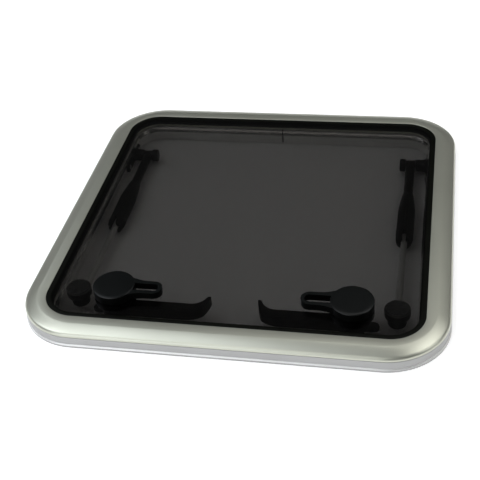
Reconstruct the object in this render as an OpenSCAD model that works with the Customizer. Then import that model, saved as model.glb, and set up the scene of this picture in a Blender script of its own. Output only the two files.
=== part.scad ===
// Square deck hatch, closed: aluminium base and lid frames, smoked lens, two handles, two telescopic stays.
// Z = 0 is the deck, under the base flange. The handles are at the front, -Y, the hinges at the rear, +Y.

/* [Frame] */
// Outer width and depth of the lid
hatch_w = 500; // [440:10:640]
// Outer corner radius of the lid and of the base
corner_r = 74; // [66:1:90]
// Height of the lid's top above the deck
hatch_h = 23; // [22:0.5:30]
// Width of the lid's top, from its outer edge to the lens opening
lid_band = 27.5; // [26:0.5:34]
// Flat part of that width, next to the lens
lid_flat = 11.4; // [9:0.2:13]
// Radius of the lid's outer edge
lid_edge_r = 5; // [3:0.5:6]
// Height of the lid's lower edge above the deck
skirt_z = 14.6; // [14:0.1:15.5]
// Straight part of the lid's outer edge
skirt_lip = 0.4; // [0.2:0.1:1]
// Thickness of the lid's skirt
lid_wall = 2.8; // [2:0.2:3.4]
// Thickness of the lid's top wall
top_wall = 3.2; // [2.8:0.2:4]
// Height of the straight face inside the skirt
haunch_rise = 1.7; // [1:0.1:2.2]
// Width of the slope above that face
haunch_w = 5.2; // [4:0.2:5.6]

/* [Lens] */
// Corner radius of the lens opening
opening_r = 41; // [36:1:50]
// Thickness of the lens
lens_t = 10; // [8:0.5:10.5]
// Depth of the lens face below the lid's top
lens_drop = 0.3; // [0.1:0.1:1]
// Chamfer round the top of the lens
lens_chamfer = 1; // [0.4:0.1:1.6]
// Width of the sealant between lens and frame
seal_w = 3; // [2:0.5:4]
// Thickness of the sealant bed under the lens
bed_t = 0.9; // [0.5:0.1:1.2]
// Width of the ledge that carries the lens
ledge_w = 7; // [6:0.5:9]
// Thickness of that ledge
ledge_t = 2.3; // [1.8:0.1:2.6]
// Thickness of the wall between the lens and the lid's hollow
web_t = 3; // [2:0.2:3.6]

/* [Gasket] */
// Width of the gasket's channel under the lid
channel_w = 10.5; // [9:0.5:11]
// Thickness of the two walls of that channel
leg_t = 2.8; // [2:0.2:3]
// Height of these walls
leg_h = 4.9; // [4:0.1:5.2]
// Thickness of the gasket
gasket_t = 3.5; // [2.5:0.1:4]
// Clearance on each side of the gasket
gasket_gap = 0.2; // [0.1:0.05:0.4]

/* [Base] */
// Thickness of the base flange
flange_t = 3; // [2:0.2:3]
// Thickness of the base's outer wall
base_wall = 2.5; // [2:0.1:3.5]
// Parting gap between lid and base, seen from outside
part_gap = 0.4; // [0.3:0.1:0.6]
// How far the bottom lip stands out from the base's outer wall
lip_w = 1.2; // [0.8:0.1:2]
// Height of the bottom lip
lip_h = 4.5; // [3:0.1:4.6]
// Thickness of the coaming that goes down through the deck
coaming_wall = 3.5; // [3:0.1:5]
// Gap between the coaming's top and the lid
coaming_gap = 1.7; // [1:0.1:2]
// Depth of the coaming below the deck
coaming_depth = 19; // [19:0.5:30]
// Radius of the half-round rim along the inside of the coaming
rim_r = 3.4; // [2.4:0.2:3.4]
// Drop of that rim's middle below the coaming's top
rim_drop = 4.8; // [4.2:0.1:4.8]
// Width of the rib that the gasket closes on
rib_w = 3; // [2:0.2:4]
// Width of the joint in the base frame at the rear
joint_w = 0.5; // [0.3:0.1:0.8]
// Depth of the groove along that joint
joint_depth = 0.6; // [0.3:0.1:1]

/* [Deck screws] */
// Diameter of each deck screw hole
deck_hole_d = 5.2; // [4:0.1:6]
// Distance between deck screw holes along a side
deck_hole_pitch = 104; // [90:1:104]
// Distance of the holes from the outer edge
deck_hole_inset = 14; // [10:0.5:17]
// Deck screw holes along each side
deck_holes = 4; // [2:2:4]

/* [Hinges] */
// Distance of each hinge's middle from the lid's side edge
hinge_side = 146; // [142:1:150]
// Distance of the hinge axis behind the lid's rear edge
hinge_out = 5; // [5:0.2:7]
// Height of the hinge axis above the deck
hinge_z = 8.5; // [8.5:0.1:9]
// Diameter of the hinge knuckles
knuckle_d = 8.4; // [7:0.2:8.6]
// Diameter of the hinge pins
hinge_pin_d = 4; // [3:0.2:4.6]
// Width of each hinge arm on the lid
hinge_arm_w = 24; // [16:1:26]
// Thickness of the hinge arms
hinge_arm_t = 3.7; // [3:0.1:3.8]
// Depth of the post that holds a hinge arm to the lid
hinge_post_d = 8; // [6:0.5:8]
// Distance of that post from the lid's outer edge
hinge_post_inset = 9.5; // [9.5:0.1:10]
// Length of each knuckle on the base
lug_knuckle_l = 12; // [8:1:14]
// Length of each hinge lug on the base
lug_l = 36; // [34:1:38]
// Thickness of the hinge lugs
lug_t = 2.6; // [2:0.1:2.8]
// Distance between the two screws of a lug
lug_screw_pitch = 10; // [8:0.5:12]
// Thickness of the hinge pins' heads
pin_head_t = 1; // [0.6:0.1:2]

/* [Handles] */
// Distance of each handle's spindle from the lid's side edge
handle_side = 110; // [106:1:120]
// Distance of the spindles from the lid's front edge
handle_inset = 74.5; // [72:0.5:80]
// Diameter of the outer handle's disc
disc_d = 50; // [44:1:56]
// Height of the disc's top above the lens
disc_h = 11; // [10.5:0.5:14]
// Rounding of the disc's upper edge
disc_round = 3; // [1:0.2:3.4]
// Reach of the outer handle's arm from the spindle
arm_reach = 57; // [52:1:66]
// Width of the outer handle's arm
arm_w = 20.5; // [18:0.5:22]
// Thickness of the outer handle's arm
arm_t = 7; // [5:0.2:7.4]
// Step from the disc's top down to the arm's top
arm_step = 0.8; // [0.4:0.1:1.4]
// Length of the flare between disc and arm
arm_flare_l = 10; // [6:0.5:10]
// Extra width of that flare at the disc
arm_flare_w = 10; // [4:0.5:12]
// Width of the slot in the arm
slot_w = 13; // [9:0.5:14]
// Wall at the end of the slot
slot_wall = 6; // [4:0.5:7]

/* [Spindles] */
// Diameter of the handle spindle
spindle_d = 12; // [10:0.5:13]
// Diameter across the corners of the spindle's hexagon ends
hex_d = 10.6; // [8:0.2:11]
// Length of the hexagon in the outer handle
hex_l = 5.5; // [4:0.5:5.5]
// Wall of the bush round the spindle
bush_wall = 3; // [2:0.2:4]
// Diameter of the bush's flange on the lens
bush_flange_d = 36; // [30:1:38]
// Thickness of that flange
bush_flange_t = 1.5; // [1:0.1:1.6]
// Thickness of the washer under the flange
washer_t = 0.8; // [0.5:0.1:1]
// Diameter of the nut under the lens
nut_d = 50; // [40:1:52]
// Height of that nut
nut_h = 6; // [5:0.2:6]
// Chamfer round the lower edge of the nut
nut_chamfer = 1.5; // [0.5:0.1:2]
// Cord diameter of the spindle's seal ring
o_ring_d = 2; // [1.4:0.1:2.4]

/* [Levers] */
// Length of the inner lever from the spindle
lever_len = 112; // [90:1:124]
// Width of the inner lever
lever_w = 16; // [12:0.5:20]
// Thickness of the inner lever
lever_t = 12.5; // [10:0.5:12.5]
// Forward offset of the lever's middle line from the spindle
lever_crank = 5; // [0:0.5:6]
// Radius at the front of the lever's end
lever_end_r = 12.8; // [8:0.2:14]
// Length of the hook at the lever's end
hook_l = 14.5; // [8:0.5:18]
// Width of the hook's tip
hook_w = 5; // [4:0.5:7]
// Radius inside the hook
hook_r = 10; // [6:0.5:12]
// Turn of that radius
hook_turn = 70; // [60:1:80]
// Diameter of the lever's hub
hub_d = 38; // [32:1:40]
// Height of the lever's hub
hub_h = 14.9; // [14:0.1:14.9]
// Reach of the latch tongue from the spindle
tongue_reach = 31; // [29:0.5:32]
// Width of the latch tongue
tongue_w = 14; // [10:0.5:18]
// Diameter of the tongue round the spindle
tongue_hub_d = 24; // [20:1:28]
// Thickness of the latch tongue
tongue_t = 3.5; // [2.5:0.1:3.5]

/* [Keepers] */
// Width of each latch keeper
keeper_w = 40; // [36:1:48]
// Thickness of the keeper's plate
keeper_t = 3; // [2:0.1:3.6]
// Height of the keeper's plate
keeper_h = 11.5; // [11:0.1:12]
// Overlap of the keeper's shelf over the latch tongue
keeper_overlap = 3.5; // [2.5:0.1:4.5]
// Distance between the two screws of a keeper
keeper_screw_pitch = 24; // [20:1:28]

/* [Stays] */
// Distance of each stay from the coaming's inside
stay_inset = 25.5; // [23:0.5:27]
// Height of the stays' middle line
stay_z = -7; // [-7.4:0.1:-6.6]
// Distance of the foot from the lid's front edge
foot_inset = 84; // [80:1:88]
// Diameter of the foot under the lens
foot_d = 30; // [26:1:32]
// Height of the foot's rim
foot_h = 11; // [6:0.5:11.4]
// Chamfer under the foot's rim
foot_chamfer = 1.5; // [0.5:0.1:2.5]
// Rounding over the foot's rim, next to the lens
foot_round = 3; // [1:0.2:3.2]
// Diameter of the foot's ball
ball_d = 18; // [16:0.5:20]
// Half angle of the cup under the ball
cup_angle = 30; // [24:1:32]
// Diameter of the rod's end piece
rod_end_d = 14; // [12.5:0.5:16]
// Wall of the end piece above the rod
rod_end_top = 2.2; // [2:0.1:2.6]
// Wall of the end piece below the rod
rod_end_floor = 0.5; // [0.3:0.1:1.5]
// Diameter of the stay's rod
rod_d = 8; // [6:0.5:8.5]
// Diameter of the stay's tube
tube_d = 12.4; // [11.5:0.2:13]
// Distance of the tube's pivot from the lid's rear edge
pivot_inset = 98; // [92:1:102]
// Length of the tube from its pivot
tube_l = 132; // [126:1:146]
// Solid end of the tube next to its pivot
tube_plug = 14; // [10:1:18]
// Spare length of bore behind the rod
rod_spare = 3; // [2:1:6]
// Diameter of the grip
grip_d = 22; // [19:0.5:23]
// Diameter of the grip at its rear end
grip_neck_d = 14.5; // [14:0.5:16]
// Length of the grip's straight part
grip_l = 60; // [50:1:70]
// Length of the taper at the grip's rear
grip_taper = 33; // [20:1:40]
// Length of the grip in front of the tube
grip_front = 43; // [36:1:48]
// Length of the rounded nose at the grip's front
grip_nose = 8; // [4:1:12]
// Diameter of that nose
grip_nose_d = 19; // [16:0.5:19]
// Width of the slots in the grip's nose
grip_slot_w = 5; // [3:0.5:6]
// Length of these slots
grip_slot_l = 14; // [8:1:18]
// Clearance between the grip's nose and the rod
grip_rod_gap = 0.4; // [0.3:0.05:0.8]

/* [Stay brackets] */
// Diameter of the pivot eye on the tube
eye_d = 14; // [13:0.5:15]
// How far the pivot eye stands out on each side of the tube
eye_lip = 0.2; // [0.1:0.1:0.8]
// Diameter of the pivot pin
pivot_pin_d = 5; // [4:0.2:6]
// Diameter of the pivot pin's head
pivot_head_d = 12; // [10:0.5:13]
// Thickness of the pivot pin's head
pivot_head_t = 8; // [3:0.5:9]
// Depth of the pivot pin in its bracket
pivot_grip = 10; // [6:0.5:11]
// Diameter of the bracket's boss
boss_d = 10; // [9:0.5:10]
// Thickness of the bracket's plate
bracket_t = 4; // [4:0.1:5]
// Length of the bracket's plate
bracket_l = 62; // [56:1:70]
// Height of the bracket's plate
bracket_h = 11.5; // [11:0.1:12]

/* [Small screws] */
// Diameter of the small screws
screw_d = 3.8; // [3:0.1:4]
// Diameter of their heads
screw_head_d = 7; // [6:0.2:7.6]
// Height of their heads
screw_head_h = 2; // [1.4:0.1:2.4]
// Depth of a screw in the wall behind its part
screw_bite = 1.8; // [1:0.1:1.9]
// Diameter of the screw under the lever
lever_screw_d = 6; // [4:0.2:6]
// Diameter of its head
lever_head_d = 11; // [9:0.5:14]
// Height of its head
lever_head_h = 3; // [2:0.2:3.2]
// Depth of that screw in the spindle
lever_screw_l = 14; // [8:1:16]

/* [Clearances] */
// Radial clearance of a turning or sliding fit
run_gap = 0.05; // [0.03:0.01:0.1]
// Radial clearance of a fixed fit
fit_gap = 0.02; // [0.01:0.01:0.04]
// Clearance between faces that move past each other
face_gap = 0.3; // [0.2:0.05:0.4]
// Clearance round the hinge arms in the base's outer wall
notch_gap = 0.8; // [0.5:0.1:1]

/* [Hidden] */
$fn = 96;
arc_steps = 8;
cut = 1;
half = hatch_w / 2;

// Lid section: u is measured inwards from the lid's outer edge
shoulder_u = lid_band - lid_flat;
edge_z = skirt_z + skirt_lip;
shoulder_rise = hatch_h - edge_z;
shoulder_run = shoulder_u - lid_edge_r;
shoulder_sq = pow(shoulder_rise, 2) + pow(shoulder_run, 2) - pow(lid_edge_r, 2);
shoulder_r = shoulder_sq / (2 * (shoulder_rise - lid_edge_r));
shoulder_c = [shoulder_u, hatch_h - shoulder_r];
edge_c = [lid_edge_r, edge_z];
edge_a = atan2(edge_c[1] - shoulder_c[1], edge_c[0] - shoulder_c[0]);
under_z = hatch_h - top_wall;
haunch_u = lid_wall + haunch_w;
haunch_z = skirt_z + haunch_rise;
sight_u = lid_band + ledge_w;
channel_in_u = sight_u - leg_t;
channel_out_u = channel_in_u - channel_w;
ledge_out_u = channel_out_u - leg_t;

// Levels from the lens down to the coaming
lens_top = hatch_h - lens_drop;
lens_bottom = lens_top - lens_t;
ledge_top = lens_bottom - bed_t;
ledge_bottom = ledge_top - ledge_t;
leg_bottom = ledge_bottom - leg_h;
gasket_bottom = ledge_bottom - gasket_t;
rib_top = gasket_bottom - face_gap;
rib_u = (channel_in_u + channel_out_u) / 2;
coaming_top = leg_bottom - coaming_gap;
rim_z = coaming_top - rim_drop;
rim_low = rim_z - rim_r;
base_top = skirt_z - part_gap;
inside = half - sight_u;
inside_r = opening_r - ledge_w;

// Hinges
hinge_x = half - hinge_side;
hinge_y = half + hinge_out;
arm_low = hinge_z + knuckle_d / 2 - hinge_arm_t;
notch_z = arm_low - notch_gap;
lug_x = hinge_arm_w / 2 + face_gap;
pin_head_r = hinge_out - lug_t - face_gap;
lug_low = lip_h + face_gap;
lug_high = base_top - face_gap;
lug_mid = (lug_low + lug_high) / 2;
lug_screw_x = lug_x + (lug_knuckle_l + lug_l) / 2;
post_y = half - hinge_post_inset - hinge_post_d / 2;

// Handles, from the outer disc down to the screw under the lever
handle_x = half - handle_side;
handle_y = -half + handle_inset;
washer_top = lens_top + washer_t;
flange_top = washer_top + bush_flange_t;
disc_top = lens_top + disc_h;
disc_low = lens_top + face_gap;
disc_floor = flange_top + face_gap;
sleeve_r = spindle_d / 2 + bush_wall;
nut_low = lens_bottom - nut_h;
hub_top = nut_low - face_gap;
hub_low = hub_top - hub_h;
tongue_low = hub_low - tongue_t;
o_ring_z = (lens_top + lens_bottom) / 2;
groove_r = spindle_d / 2 - o_ring_d - fit_gap;

// Keepers and stay brackets hang under the coaming's rim
shelf_low = hub_low + face_gap;
keeper_high = rim_low - face_gap;
keeper_low = keeper_high - keeper_h;
keeper_reach = handle_y - tongue_reach + keeper_overlap + inside;
keeper_screw_y = -inside + keeper_t;
keeper_screw_z = (shelf_low + keeper_low) / 2;

// Stays
stay_x = inside - stay_inset;
foot_y = -half + foot_inset;
pivot_y = half - pivot_inset;
rod_top = stay_z + rod_d / 2 + rod_end_top;
rod_low = stay_z - rod_d / 2 - rod_end_floor;
cup_r = ball_d / 2 + face_gap;
ball_z = rod_top + cup_r * cos(cup_angle);
foot_low = lens_bottom - foot_h;
tube_front = pivot_y - tube_l;
bore_end = pivot_y - tube_plug;
rod_tail = bore_end - rod_spare;
rod_nose = foot_y + rod_end_d / 4;
grip_step = tube_front - face_gap;
grip_nose_y = tube_front - grip_front;
grip_body_y = grip_nose_y + grip_nose;
grip_taper_y = grip_body_y + grip_l;
grip_rear_y = grip_taper_y + grip_taper;
eye_w = tube_d + 2 * eye_lip;
boss_x = eye_w / 2 + face_gap;
plate_x = stay_inset - bracket_t;
bracket_high = rim_low - face_gap;
bracket_low = bracket_high - bracket_h;
bracket_screw_z = (bracket_high + bracket_low) / 2;
bracket_front = inside - inside_r - face_gap - bracket_l;
bracket_screw_y = [bracket_front + screw_head_d, bracket_front + bracket_l - screw_head_d];

// Points along an arc, from angle a to angle b
function arc(c, r, a, b) = [
  for (i = [0 : arc_steps])
    let (t = a + (b - a) * i / arc_steps)
      c + r * [cos(t), sin(t)]
];

module rounded_square(h, r) {
  square([2 * h, 2 * (h - r)], center = true);
  square([2 * (h - r), 2 * h], center = true);
  for (x = [-1, 1], y = [-1, 1])
    translate([x * (h - r), y * (h - r)])
      circle(r);
}

// Slabs inset by u, whose corners follow the hatch's outside or the lens opening
module outer_slab(u, low, high) {
  translate([0, 0, low])
    linear_extrude(high - low)
      rounded_square(half - u, corner_r - u);
}

module inner_slab(u, low, high) {
  translate([0, 0, low])
    linear_extrude(high - low)
      rounded_square(half - u, opening_r + lid_band - u);
}

// Sweeps a section round a square with rounded corners
module swept(h, r) {
  run = h - r;
  for (k = [0 : 3])
    rotate([0, 0, 90 * k]) {
      translate([-run, h, 0])
        rotate([90, 0, 90])
          linear_extrude(2 * run)
            mirror([1, 0])
              children();
      translate([run, run, 0])
        rotate_extrude(angle = 90)
          translate([r, 0])
            mirror([1, 0])
              children();
    }
}

// Everything is drawn for the right-hand side and mirrored for the left
module on_side(side) {
  mirror([side < 0 ? 1 : 0, 0, 0])
    children();
}

module at_handle(side) {
  on_side(side)
    translate([handle_x, handle_y, 0])
      children();
}

module at_stay(side) {
  on_side(side)
    translate([stay_x, 0, 0])
      children();
}

module at_hinge(side) {
  on_side(side)
    translate([hinge_x, 0, 0])
      children();
}

// A cylinder along Y or along X, from one place to another
module rod_y(r, a, b) {
  translate([0, a, 0])
    rotate([-90, 0, 0])
      cylinder(r = r, h = b - a);
}

module rod_x(r, a, b) {
  translate([a, 0, 0])
    rotate([0, 90, 0])
      cylinder(r = r, h = b - a);
}

// A pan-head screw along Z, with the underside of its head at Z = 0
module small_screw(grip) {
  cylinder(d = screw_d, h = grip);
  translate([0, 0, -screw_head_h])
    cylinder(d1 = screw_head_d - screw_head_h, d2 = screw_head_d, h = screw_head_h);
}

module screw_hole(grip) {
  translate([0, 0, -cut])
    cylinder(r = screw_d / 2 + fit_gap, h = grip + cut);
}

// Places of the small screws, each looking along its own shank
module each_keeper_screw() {
  for (side = [-1, 1], x = [-1, 1])
    translate([side * handle_x + x * keeper_screw_pitch / 2, keeper_screw_y, keeper_screw_z])
      rotate([90, 0, 0])
        children();
}

module each_bracket_screw() {
  for (side = [-1, 1], y = bracket_screw_y)
    at_stay(side)
      translate([plate_x, y, bracket_screw_z])
        rotate([0, 90, 0])
          children();
}

module each_lug_screw() {
  for (side = [-1, 1], x = [-1, 1], k = [-1, 1])
    at_hinge(side)
      translate([x * lug_screw_x + k * lug_screw_pitch / 2, half + lug_t, lug_mid])
        rotate([90, 0, 0])
          children();
}

module each_arm_screw() {
  for (side = [-1, 1], x = [-1, 1])
    at_hinge(side)
      translate([x * hinge_arm_w / 4, post_y, arm_low])
        children();
}

module base_section() {
  difference() {
    union() {
      outer_slab(0, 0, base_top);
      inner_slab(sight_u - coaming_wall, -coaming_depth, cut);
    }
    difference() {
      outer_slab(base_wall, flange_t, base_top + cut);
      inner_slab(sight_u - coaming_wall, 0, coaming_top);
      difference() {
        inner_slab(rib_u - rib_w / 2, 0, rib_top);
        inner_slab(rib_u + rib_w / 2, -cut, rib_top + cut);
      }
    }
    inner_slab(sight_u, -coaming_depth - cut, base_top + cut);
  }
  swept(half + lip_w, corner_r + lip_w)
    polygon(concat(
      [[lip_w + base_wall / 2, lip_h], [lip_w + base_wall / 2, 0], [0, 0]],
      arc([lip_w, lip_h - lip_w], lip_w, 180, 90)
    ));
  swept(inside, inside_r)
    polygon(concat(
      [[-coaming_wall / 2, rim_low]],
      arc([0, rim_z], rim_r, -90, 90),
      [[-coaming_wall / 2, rim_z + rim_r]]
    ));
}

module base_frame() {
  color("silver")
    difference() {
      base_section();
      for (k = [0 : 3], i = [0 : deck_holes - 1])
        rotate([0, 0, 90 * k])
          translate([(i - (deck_holes - 1) / 2) * deck_hole_pitch, half - deck_hole_inset, -cut])
            cylinder(d = deck_hole_d, h = flange_t + 2 * cut);
      for (side = [-1, 1])
        at_hinge(side)
          translate([-hinge_arm_w / 2 - notch_gap, half - base_wall - cut, notch_z])
            cube([hinge_arm_w + 2 * notch_gap, base_wall + 2 * cut, base_top]);
      translate([-joint_w / 2, inside - rim_r - cut, -coaming_depth - cut])
        cube([joint_w, rim_r + cut + joint_depth, coaming_depth + coaming_top + 2 * cut]);
      each_keeper_screw()
        screw_hole(keeper_t + screw_bite);
      each_bracket_screw()
        screw_hole(bracket_t + screw_bite);
      each_lug_screw()
        screw_hole(lug_t + screw_bite);
    }
}

module latch_keeper(side) {
  color("#1c1d1b")
    difference() {
      on_side(side)
        translate([handle_x - keeper_w / 2, -inside, 0]) {
          translate([0, 0, keeper_low])
            cube([keeper_w, keeper_t, keeper_h]);
          translate([0, 0, shelf_low])
            cube([keeper_w, keeper_reach, keeper_high - shelf_low]);
        }
      each_keeper_screw()
        screw_hole(keeper_t + cut);
    }
}

module keeper_screws() {
  color("gainsboro")
    each_keeper_screw()
      small_screw(keeper_t + screw_bite);
}

module stay_bracket(side) {
  color("#1c1d1b")
    difference() {
      at_stay(side) {
        translate([plate_x, bracket_front, bracket_low])
          cube([bracket_t, bracket_l, bracket_h]);
        translate([0, pivot_y, stay_z])
          rod_x(boss_d / 2, boss_x, plate_x);
      }
      at_stay(side)
        translate([0, pivot_y, stay_z])
          rod_x(pivot_pin_d / 2 + fit_gap, boss_x - cut, boss_x + pivot_grip);
      each_bracket_screw()
        screw_hole(bracket_t + cut);
    }
}

module bracket_screws() {
  color("gainsboro")
    each_bracket_screw()
      small_screw(bracket_t + screw_bite);
}

module pivot_pin(side) {
  head_x = -eye_w / 2 - face_gap;
  color("gainsboro")
    at_stay(side)
      translate([0, pivot_y, stay_z]) {
        rod_x(pivot_pin_d / 2, head_x, boss_x + pivot_grip);
        rod_x(pivot_head_d / 2, head_x - pivot_head_t, head_x);
      }
}

module hinge_lugs(side) {
  color("silver")
    difference() {
      at_hinge(side)
        for (x = [0, 1])
          mirror([x, 0, 0])
            translate([lug_x, 0, 0]) {
              translate([0, half, lug_low])
                cube([lug_l, lug_t, lug_high - lug_low]);
              translate([0, half, hinge_z - knuckle_d / 4])
                cube([lug_knuckle_l, hinge_out, knuckle_d / 2]);
              translate([0, hinge_y, hinge_z])
                rod_x(knuckle_d / 2, 0, lug_knuckle_l);
            }
      at_hinge(side)
        translate([0, hinge_y, hinge_z])
          rod_x(hinge_pin_d / 2 + fit_gap, -lug_x - lug_l, lug_x + lug_l);
      each_lug_screw()
        screw_hole(lug_t + cut);
    }
}

module hinge_lug_screws() {
  color("gainsboro")
    each_lug_screw()
      small_screw(lug_t + screw_bite);
}

module hinge_pin(side) {
  pin_x = lug_x + lug_knuckle_l;
  color("gainsboro")
    at_hinge(side)
      translate([0, hinge_y, hinge_z]) {
        rod_x(hinge_pin_d / 2, -pin_x, pin_x);
        rod_x(pin_head_r, pin_x, pin_x + pin_head_t);
        rod_x(pin_head_r, -pin_x - pin_head_t, -pin_x);
      }
}

module lid_shoulder() {
  polygon(concat(
    [[lid_band - web_t / 2, under_z], [lid_band - web_t / 2, hatch_h]],
    arc(shoulder_c, shoulder_r, 90, edge_a),
    arc(edge_c, lid_edge_r, edge_a, 180),
    [[0, skirt_z], [lid_wall, skirt_z], [lid_wall, haunch_z], [haunch_u, under_z]]
  ));
}

module lid_frame() {
  color("silver")
    difference() {
      union() {
        swept(half, corner_r)
          lid_shoulder();
        inner_slab(lid_band - web_t, ledge_bottom, hatch_h);
        inner_slab(ledge_out_u, leg_bottom, ledge_top);
      }
      inner_slab(lid_band, ledge_top, hatch_h + cut);
      inner_slab(sight_u, leg_bottom - cut, hatch_h);
      difference() {
        inner_slab(channel_out_u, leg_bottom - cut, ledge_bottom);
        inner_slab(channel_in_u, leg_bottom - 2 * cut, hatch_h);
      }
      each_arm_screw()
        screw_hole(under_z - arm_low + screw_bite);
    }
}

module lens() {
  lens_u = lid_band + seal_w;
  color("#3f3e3d", 0.8)
    difference() {
      inner_slab(lens_u, lens_bottom, lens_top);
      swept(half - lens_u, opening_r - seal_w)
        polygon([
          [-cut, lens_top - lens_chamfer - cut],
          [lens_chamfer + cut, lens_top + cut],
          [-cut, lens_top + cut]
        ]);
      for (side = [-1, 1])
        at_handle(side)
          translate([0, 0, lens_bottom - cut])
            cylinder(r = sleeve_r + fit_gap, h = lens_t + 2 * cut);
    }
}

module glazing_seal() {
  color("#10110e")
    difference() {
      inner_slab(lid_band, ledge_top, lens_top - lens_drop);
      inner_slab(lid_band + seal_w, lens_bottom, lens_top);
      inner_slab(sight_u, ledge_top - cut, lens_top);
    }
}

module lid_gasket() {
  color("#1a1b19")
    difference() {
      inner_slab(channel_out_u + gasket_gap, gasket_bottom, ledge_bottom);
      inner_slab(channel_in_u - gasket_gap, gasket_bottom - cut, ledge_bottom + cut);
    }
}

module hinge_arm(side) {
  post_rear = post_y - hinge_post_d / 2;
  color("silver")
    difference() {
      at_hinge(side)
        difference() {
          union() {
            translate([-hinge_arm_w / 2, post_rear, arm_low])
              cube([hinge_arm_w, hinge_y - post_rear, hinge_arm_t]);
            translate([-hinge_arm_w / 2, post_rear, arm_low])
              cube([hinge_arm_w, hinge_post_d, under_z - arm_low]);
            translate([0, hinge_y, hinge_z])
              rod_x(knuckle_d / 2, -hinge_arm_w / 2, hinge_arm_w / 2);
          }
          translate([0, hinge_y, hinge_z])
            rod_x(hinge_pin_d / 2 + run_gap, -hinge_arm_w, hinge_arm_w);
        }
      each_arm_screw()
        screw_hole(under_z - arm_low + cut);
    }
}

module hinge_arm_screws() {
  color("gainsboro")
    each_arm_screw()
      small_screw(under_z - arm_low + screw_bite);
}

module handle_bush(side) {
  color("#1c1d1b")
    at_handle(side)
      difference() {
        union() {
          translate([0, 0, nut_low])
            cylinder(r = sleeve_r, h = flange_top - nut_low);
          translate([0, 0, washer_top])
            cylinder(d = bush_flange_d, h = bush_flange_t);
        }
        translate([0, 0, nut_low - cut])
          cylinder(r = spindle_d / 2 + run_gap, h = flange_top - nut_low + 2 * cut);
      }
}

module handle_washer(side) {
  color("#1a1b19")
    at_handle(side)
      translate([0, 0, lens_top])
        difference() {
          cylinder(d = bush_flange_d, h = washer_t);
          translate([0, 0, -cut])
            cylinder(r = sleeve_r + fit_gap, h = washer_t + 2 * cut);
        }
}

module handle_nut(side) {
  color("#1c1d1b")
    at_handle(side)
      translate([0, 0, nut_low])
        difference() {
          union() {
            cylinder(r1 = nut_d / 2 - nut_chamfer, r2 = nut_d / 2, h = nut_chamfer);
            translate([0, 0, nut_chamfer])
              cylinder(d = nut_d, h = nut_h - nut_chamfer);
          }
          translate([0, 0, -cut])
            cylinder(r = sleeve_r + fit_gap, h = nut_h + 2 * cut);
        }
}

module stay_foot(side) {
  foot_r = foot_d / 2;
  color("#1c1d1b")
    at_stay(side)
      translate([0, foot_y, 0])
        difference() {
          union() {
            rotate_extrude()
              polygon(concat(
                [[0, foot_low], [foot_r - foot_chamfer, foot_low], [foot_r, foot_low + foot_chamfer]],
                arc([foot_r - foot_round, lens_bottom - foot_round], foot_round, 0, 90),
                [[0, lens_bottom]]
              ));
            translate([0, 0, ball_z])
              sphere(d = ball_d);
          }
          translate([0, 0, lens_bottom + ball_d / 2])
            cube(ball_d, center = true);
        }
}

module outer_handle(side) {
  disc_r = disc_d / 2;
  arm_end = arm_reach - arm_w / 2;
  slot_end = arm_reach - slot_wall - slot_w / 2;
  slot_start = disc_r - disc_round;
  flare_w = arm_w / 2 + arm_flare_w / 2;
  flare_x = sqrt(pow(disc_r, 2) - pow(flare_w, 2));
  color("#111412")
    at_handle(side)
      difference() {
        union() {
          rotate_extrude()
            polygon(concat(
              [[0, disc_low], [disc_r, disc_low]],
              arc([disc_r - disc_round, disc_top - disc_round], disc_round, 0, 90),
              [[0, disc_top]]
            ));
          translate([0, 0, disc_top - arm_step - arm_t])
            linear_extrude(arm_t)
              difference() {
                union() {
                  translate([-arm_end, -arm_w / 2])
                    square([arm_end, arm_w]);
                  translate([-arm_end, 0])
                    circle(arm_w / 2);
                  polygon([
                    [-flare_x, -flare_w], [-flare_x, flare_w],
                    [-disc_r - arm_flare_l, arm_w / 2], [-disc_r - arm_flare_l, -arm_w / 2]
                  ]);
                }
                translate([-slot_end, 0])
                  circle(slot_w / 2);
                translate([-slot_end, -slot_w / 2])
                  square([slot_end - slot_start, slot_w]);
              }
        }
        translate([0, 0, disc_low - cut])
          cylinder(r = bush_flange_d / 2 + face_gap, h = disc_floor - disc_low + cut);
        translate([0, 0, disc_floor - cut])
          cylinder(r = hex_d / 2 + fit_gap, h = hex_l + cut, $fn = 6);
      }
}

module spindle(side) {
  color("gainsboro")
    at_handle(side)
      difference() {
        union() {
          translate([0, 0, hub_top])
            cylinder(d = spindle_d, h = disc_floor - hub_top);
          translate([0, 0, tongue_low])
            cylinder(d = hex_d, h = disc_floor + hex_l - tongue_low, $fn = 6);
        }
        translate([0, 0, o_ring_z - o_ring_d / 2])
          difference() {
            cylinder(d = spindle_d + cut, h = o_ring_d);
            cylinder(r = groove_r, h = o_ring_d);
          }
        translate([0, 0, tongue_low - cut])
          cylinder(r = lever_screw_d / 2 + fit_gap, h = lever_screw_l + cut);
      }
}

module spindle_seal(side) {
  color("#1a1b19")
    at_handle(side)
      translate([0, 0, o_ring_z])
        rotate_extrude()
          translate([groove_r + fit_gap + (o_ring_d - 2 * fit_gap) / 2, 0])
            circle(o_ring_d / 2 - fit_gap);
}

module lever_outline() {
  front = -lever_crank - lever_w / 2;
  rear = -lever_crank + lever_w / 2;
  hook_x = lever_len - hook_w - hook_r;
  tip = [lever_len - hook_w / 2, rear + hook_l - hook_w / 2];
  mirror([1, 0])
    polygon(concat(
      [[0, front], [0, rear]],
      arc([hook_x, rear + hook_r], hook_r, -90, hook_turn - 90),
      arc(tip, hook_w / 2, 180, 0),
      arc([lever_len - lever_end_r, front + lever_end_r], lever_end_r, 0, -90)
    ));
}

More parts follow.
